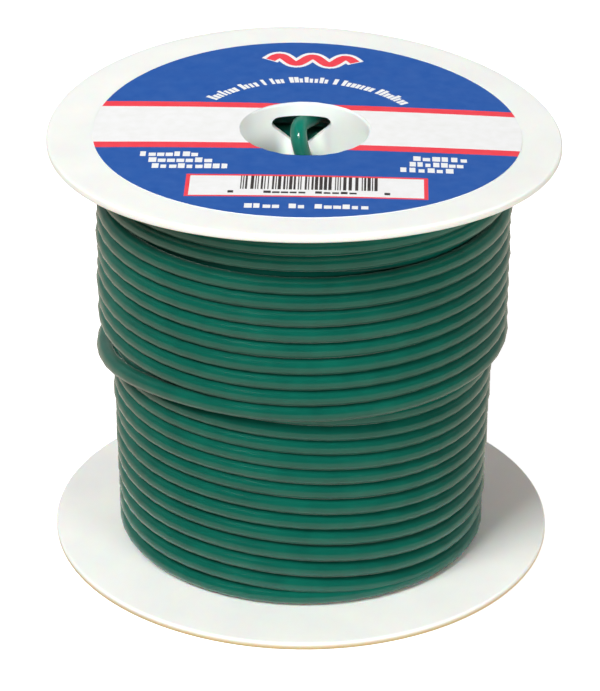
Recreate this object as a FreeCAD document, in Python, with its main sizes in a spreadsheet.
import FreeCAD, Part
import math
import os

import Sketcher

# A hundred-foot spool of primary wire, standing on its lower flange.
# Millimetres. +Z is the spool's axis, the origin is the centre of the lower flange's outer face,
# and the start window, where the wire's inner end enters the bore, is on the +Y side.

SIZES = [
    ("overall_height", 88.9),
    ("flange_radius", 50.8),
    ("flange_thickness", 1.6),
    ("rim_rounding", 0.5),
    ("bore_radius", 12.7),
    ("bore_rounding", 0.4),
    ("collar_wall", 1.2),
    ("collar_depth", 30.0),
    ("barrel_radius", 18.5),
    ("barrel_wall", 1.5),
    ("window_offset", -0.6),
    ("window_half_width", 7.7),
    ("window_height", 7.45),
    ("window_drop", 2.75),
    ("window_corner", 1.2),
    ("notch_half_width", 10.0),
    ("notch_depth", 13.0),
    ("label_radius", 42.3),
    ("label_hole_radius", 13.2),
    ("label_thickness", 0.12),
    ("wire_diameter", 3.4),
    ("full_layers", 6),
    ("layer_step", 3.25),
    ("outer_layer_bottom", 45.2),
    ("loose_turn_drop", 5.5),
    ("loose_turn_start", 140.0),
    ("loose_turn_sweep", 110.0),
    ("strand_diameter", 0.44),
    ("strand_pitch", 0.46),
    ("strand_reveal", 0.8),
]

# The wire's two uncoiled stretches, as corners of their routes.
# The inner end leaves the first layer, passes the barrel's notch and the collar's window
# and folds down the bore.
INNER_ROUTE = [
    (-1.7, 19.4, 84.1),
    (-1.4, 16.0, 84.4),
    (-1.2, 12.4, 84.3),
    (-1.0, 9.7, 81.7),
    (0.0, 9.5, 75.4),
    (1.0, 9.9, 68.3),
    (1.4, 9.1, 60.6),
    (0.6, 8.6, 52.9),
    (0.9, 9.0, 45.6),
]

# The outer end leaves the loose last turn at the back and lies against the winding.
OUTER_ROUTE = [
    (-30.83, 25.87, 41.40),
    (-26.10, 31.10, 41.20),
    (-19.30, 36.00, 40.60),
    (-12.00, 39.30, 39.80),
    (-4.90, 41.10, 38.90),
]

RUN_SHARE = 0.45  # of the shorter run beside a corner, which its arc may use up
SUB_PARTS = []

doc = FreeCAD.newDocument("wire_spool")
sheet = doc.addObject("Spreadsheet::Sheet", "Sizes")
for row, (alias, number) in enumerate(SIZES, start=1):
    sheet.set(f"A{row}", alias)
    sheet.set(f"B{row}", str(number))
    sheet.setAlias(f"B{row}", alias)
doc.recompute()


def value(expression):
    """An expression on the sheet, as a plain number."""
    result = sheet.evalExpression(expression)
    return float(getattr(result, "Value", result))


def sub_part(shape_object, node):
    """Names a finished sub-part and puts it on the list of parts to write."""
    shape_object.Label = node
    SUB_PARTS.append(shape_object)
    return shape_object


# Outlines and features ---------------------------------------------------------------------------


def pin_corner(sketch, index, x, y):
    """Holds the start of one line of a sketch at expressions x and y."""
    for kind, axis, expression in (("DistanceX", -2, x), ("DistanceY", -1, y)):
        if value(expression) == 0:
            sketch.addConstraint(Sketcher.Constraint("PointOnObject", index, 1, axis))
            continue
        number = sketch.addConstraint(Sketcher.Constraint(kind, -1, 1, index, 1, value(expression)))
        sketch.setExpression(f"Constraints[{number}]", expression)


def outline(body, name, corners):
    """A closed sketch of straight lines on the body's XZ plane; each corner is two expressions."""
    sketch = body.newObject("Sketcher::SketchObject", name)
    plane = next(feature for feature in body.Origin.OriginFeatures if feature.Role == "XZ_Plane")
    sketch.AttachmentSupport = [(plane, "")]
    sketch.MapMode = "FlatFace"
    points = [FreeCAD.Vector(value(x), value(y), 0) for x, y in corners]
    count = len(points)
    for index in range(count):
        sketch.addGeometry(Part.LineSegment(points[index], points[(index + 1) % count]), False)
    for index in range(count):
        sketch.addConstraint(Sketcher.Constraint("Coincident", index, 2, (index + 1) % count, 1))
    for index, (x, y) in enumerate(corners):
        pin_corner(sketch, index, x, y)
    return sketch


def turned(body, name, corners):
    """A solid of revolution about Z from an outline in the XZ plane."""
    sketch = outline(body, name + "_profile", corners)
    revolution = body.newObject("PartDesign::Revolution", name + "_turning")
    revolution.Profile = sketch
    revolution.ReferenceAxis = (sketch, ["V_Axis"])
    revolution.Angle = 360
    doc.recompute()
    return revolution


def rounded(body, base, name, size, wanted):
    """Fillets the edges of base for which wanted(edge) holds."""
    names = [f"Edge{i}" for i, edge in enumerate(base.Shape.Edges, start=1) if wanted(edge)]
    fillet = body.newObject("PartDesign::Fillet", name)
    fillet.Base = (base, names)
    fillet.setExpression("Radius", size)
    doc.recompute()
    return fillet


def is_circle_of(expression, level=None):
    """A test for full circles of one radius, at one height where a level is given."""

    def test(edge):
        if not isinstance(edge.Curve, Part.Circle):
            return False
        if abs(edge.Curve.Radius - value(expression)) > 1e-6:
            return False
        return level is None or abs(edge.Curve.Center.z - value(level)) < 1e-6

    return test


def runs_along_y(edge):
    """Whether an edge is straight and lies along Y, as the corners of a wall opening do."""
    return isinstance(edge.Curve, Part.Line) and abs(edge.Curve.Direction.y) > 0.999


def pierced(body, base, name, corners, reach):
    """Cuts an opening of the given outline through the +Y side of a tube wall."""
    sketch = outline(body, name + "_outline", corners)
    pocket = body.newObject("PartDesign::Pocket", name)
    pocket.Profile = sketch
    pocket.setExpression("Length", reach)
    doc.recompute()
    removed = base.Shape.Volume - pocket.Shape.Volume
    opening = base.Shape.cut(pocket.Shape).BoundBox
    if removed <= 0 or opening.YMin <= 0:
        raise RuntimeError(f"{name} doesn't open the +Y side")
    return pocket


# The spool ---------------------------------------------------------------------------------------


def flange_corners(outer, inner, collar_end):
    """The section of a flange and its bore collar, from its outer face inwards."""
    collar_radius = "Sizes.bore_radius + Sizes.collar_wall"
    return [
        ("Sizes.bore_radius", outer),
        ("Sizes.flange_radius", outer),
        ("Sizes.flange_radius", inner),
        (collar_radius, inner),
        (collar_radius, collar_end),
        ("Sizes.bore_radius", collar_end),
    ]


def flange(node, outer, inner, collar_end):
    """A thin moulded disc with a bore collar, its rim and the mouth of its bore rounded."""
    body = doc.addObject("PartDesign::Body", node)
    disc = turned(body, node, flange_corners(outer, inner, collar_end))
    rim = rounded(body, disc, node + "_rim", "Sizes.rim_rounding", is_circle_of("Sizes.flange_radius"))
    mouth = is_circle_of("Sizes.bore_radius", outer)
    return body, rounded(body, rim, node + "_mouth", "Sizes.bore_rounding", mouth)


def lower_flange():
    """The flange that the spool stands on."""
    body, _ = flange("lower_flange", "0", "Sizes.flange_thickness", "Sizes.collar_depth")
    return sub_part(body, "lower_flange")


def upper_flange():
    """The labelled flange; its collar has the rounded three-cornered start window."""
    top = "Sizes.overall_height"
    under = top + " - Sizes.flange_thickness"
    body, solid = flange("upper_flange", top, under, top + " - Sizes.collar_depth")
    lintel = top + " - Sizes.window_drop"
    corners = [
        ("Sizes.window_offset - Sizes.window_half_width", lintel),
        ("Sizes.window_offset", lintel + " - Sizes.window_height"),
        ("Sizes.window_offset + Sizes.window_half_width", lintel),
    ]
    window = pierced(body, solid, "start_window", corners, "Sizes.bore_radius + 2 * Sizes.collar_wall")
    rounded(body, window, "start_window_corners", "Sizes.window_corner", runs_along_y)
    return sub_part(body, "upper_flange")


def barrel():
    """The tube that the wire is wound on, with a V notch in its upper end behind the start window."""
    body = doc.addObject("PartDesign::Body", "barrel")
    inner = "Sizes.barrel_radius - Sizes.barrel_wall"
    low = "Sizes.flange_thickness"
    high = "Sizes.overall_height - Sizes.flange_thickness"
    section = [(inner, low), ("Sizes.barrel_radius", low), ("Sizes.barrel_radius", high), (inner, high)]
    tube = turned(body, "barrel", section)
    corners = [
        ("Sizes.window_offset - Sizes.notch_half_width", high + " + 1"),
        ("Sizes.window_offset", high + " - Sizes.notch_depth"),
        ("Sizes.window_offset + Sizes.notch_half_width", high + " + 1"),
    ]
    notch = pierced(body, tube, "start_notch", corners, "Sizes.barrel_radius + Sizes.barrel_wall")
    rounded(body, notch, "start_notch_corner", "Sizes.window_corner", runs_along_y)
    return sub_part(body, "barrel")


def top_label():
    """The round paper label on the upper flange."""
    body = doc.addObject("PartDesign::Body", "top_label")
    low = "Sizes.overall_height"
    high = low + " + Sizes.label_thickness"
    section = [
        ("Sizes.label_hole_radius", low),
        ("Sizes.label_radius", low),
        ("Sizes.label_radius", high),
        ("Sizes.label_hole_radius", high),
    ]
    turned(body, "top_label", section)
    return sub_part(body, "top_label")


# The wire ----------------------------------------------------------------------------------------

FULL_RADIUS = "(Sizes.barrel_radius + Sizes.wire_diameter + (Sizes.full_layers - 1) * Sizes.layer_step)"
OUTER_RADIUS = f"({FULL_RADIUS} + Sizes.layer_step)"


def wound_wire():
    """The winding's outer shape: full layers, and one more from the upper flange to mid height."""
    body = doc.addObject("PartDesign::Body", "wound_layers")
    low = "Sizes.flange_thickness"
    high = "Sizes.overall_height - Sizes.flange_thickness"
    section = [
        ("Sizes.barrel_radius", low),
        (FULL_RADIUS, low),
        (FULL_RADIUS, "Sizes.outer_layer_bottom"),
        (OUTER_RADIUS, "Sizes.outer_layer_bottom"),
        (OUTER_RADIUS, high),
        ("Sizes.barrel_radius", high),
    ]
    turned(body, "wound_layers", section)
    return body


def loose_turn():
    """The part of the last turn that lies loose below the outer layer, from the front left to the back."""
    sector = doc.addObject("Part::Cylinder", "loose_sector")
    sector.setExpression("Radius", FULL_RADIUS + " + Sizes.wire_diameter")
    sector.setExpression("Height", "2 * Sizes.wire_diameter")
    sector.setExpression("Angle", "Sizes.loose_turn_sweep")
    core = doc.addObject("Part::Cylinder", "loose_core")
    core.setExpression("Radius", FULL_RADIUS + " - Sizes.wire_diameter")
    core.setExpression("Height", "3 * Sizes.wire_diameter")
    for cylinder in (sector, core):
        cylinder.setExpression("Placement.Base.z", "Sizes.outer_layer_bottom - Sizes.loose_turn_drop")
        cylinder.setExpression("Placement.Rotation.Angle", "Sizes.loose_turn_start")
    ring = doc.addObject("Part::Cut", "loose_ring")
    ring.Base = sector
    ring.Tool = core
    return ring


def wire_winding():
    """All the wound turns as one closed solid."""
    winding = doc.addObject("Part::Fuse", "wire_winding")
    winding.Base = wound_wire()
    winding.Tool = loose_turn()
    doc.recompute()
    return sub_part(winding, "wire_winding")


def corner_arc(before, corner, after, node):
    """The tangent arc at one corner of a route, as its start, a point midway and its end."""
    back = (before - corner).normalize()
    ahead = (after - corner).normalize()
    shorter = min(before.distanceToPoint(corner), after.distanceToPoint(corner))
    half_turn = (math.pi - back.getAngle(ahead)) / 2
    cut_back = RUN_SHARE * shorter
    radius = cut_back / math.tan(half_turn)
    print(f"{node}: turn {math.degrees(2 * half_turn):.1f} degrees, arc radius {radius:.1f} mm")
    inward = (back + ahead).normalize()
    nearest = corner + inward * (radius / math.cos(half_turn) - radius)
    return corner + back * cut_back, nearest, corner + ahead * cut_back


def route_path(route, node):
    """Straight runs joined by tangent arcs, as one wire."""
    points = [FreeCAD.Vector(*point) for point in route]
    edges = []
    start = points[0]
    for before, corner, after in zip(points, points[1:], points[2:]):
        arc_start, arc_middle, arc_end = corner_arc(before, corner, after, node)
        edges.append(Part.LineSegment(start, arc_start).toShape())
        edges.append(Part.Arc(arc_start, arc_middle, arc_end).toShape())
        start = arc_end
    edges.append(Part.LineSegment(start, points[-1]).toShape())
    return Part.Wire(edges)


def wire_tube(route, node):
    """A plain tube of the wire's diameter along a route, checked against section times length."""
    path = doc.addObject("Part::Feature", node + "_path")
    path.Shape = route_path(route, node)
    section = doc.addObject("Part::Circle", node + "_section")
    section.setExpression("Radius", "Sizes.wire_diameter / 2")
    first = FreeCAD.Vector(*route[0])
    heading = FreeCAD.Vector(*route[1]) - first
    section.Placement = FreeCAD.Placement(first, FreeCAD.Rotation(FreeCAD.Vector(0, 0, 1), heading))
    tube = doc.addObject("Part::Sweep", node + "_tube")
    tube.Sections = [section]
    tube.Spine = (path, [f"Edge{i}" for i in range(1, len(path.Shape.Edges) + 1)])
    tube.Solid = True
    tube.Frenet = False
    doc.recompute()
    expected = math.pi * value("Sizes.wire_diameter") ** 2 / 4 * path.Shape.Length
    share = tube.Shape.Volume / expected
    print(f"{node}: length {path.Shape.Length:.1f} mm, volume {share:.4f} of section times length")
    if abs(share - 1) > 0.01:
        raise RuntimeError(f"{node} isn't a tube of the right volume")
    return tube


def wire_inner_end(winding):
    """The wire from the first layer's face through the notch and the window and down the bore."""
    end = doc.addObject("Part::Cut", "wire_inner_end")
    end.Base = wire_tube(INNER_ROUTE, "wire_inner_end")
    end.Tool = winding
    doc.recompute()
    return sub_part(end, "wire_inner_end")


def wire_outer_end():
    """The cut tail of the last turn, at the back."""
    return sub_part(wire_tube(OUTER_ROUTE, "wire_outer_end"), "wire_outer_end")


def strand_centres():
    """Centres of one strand, the six round it and the twelve round those, in pitches."""
    centres = [(0.0, 0.0)]
    for side in range(6):
        corner = math.radians(60 * side)
        along = math.radians(60 * side + 120)
        for ring in (1, 2):
            for step in range(ring):
                x = ring * math.cos(corner) + step * math.cos(along)
                y = ring * math.sin(corner) + step * math.sin(along)
                centres.append((x, y))
    return centres


def end_strands(route, node):
    """The copper strands that show at a cut end, standing a little proud of the insulation."""
    last = FreeCAD.Vector(*route[-1])
    heading = last - FreeCAD.Vector(*route[-2])
    frame = FreeCAD.Placement(last, FreeCAD.Rotation(FreeCAD.Vector(0, 0, 1), heading))
    pitch = value("Sizes.strand_pitch")
    strands = []
    for x, y in strand_centres():
        strand = doc.addObject("Part::Cylinder", node + "_strand")
        strand.setExpression("Radius", "Sizes.strand_diameter / 2")
        strand.setExpression("Height", "Sizes.strand_reveal")
        offset = FreeCAD.Vector(x * pitch, y * pitch, 0)
        strand.Placement = frame * FreeCAD.Placement(offset, FreeCAD.Rotation())
        strands.append(strand)
    bundle = doc.addObject("Part::Compound", node)
    bundle.Links = strands
    return sub_part(bundle, node)


def check_objects():
    """Stops unless every object is in order and every sub-part is a valid solid or group of solids."""
    for item in doc.Objects:
        if "Invalid" in item.State or "Error" in item.State:
            raise RuntimeError(f"{item.Name} is {item.State}")
    for item in SUB_PARTS:
        if item.Shape.isNull() or not item.Shape.isValid() or not item.Shape.Solids:
            raise RuntimeError(f"{item.Label} has no valid solid")


def write_parts():
    """Writes each sub-part to its own STEP file."""
    os.makedirs("parts", exist_ok=True)
    for item in SUB_PARTS:
        item.Shape.exportStep(f"parts/{item.Label}.step")
        print(f"{item.Label}: {len(item.Shape.Solids)} solids, {item.Shape.Volume:.1f} mm3")


lower_flange()
upper_flange()
barrel()
top_label()
wire_inner_end(wire_winding())
end_strands(INNER_ROUTE, "inner_end_strands")
wire_outer_end()
end_strands(OUTER_ROUTE, "outer_end_strands")
doc.recompute()
check_objects()
write_parts()
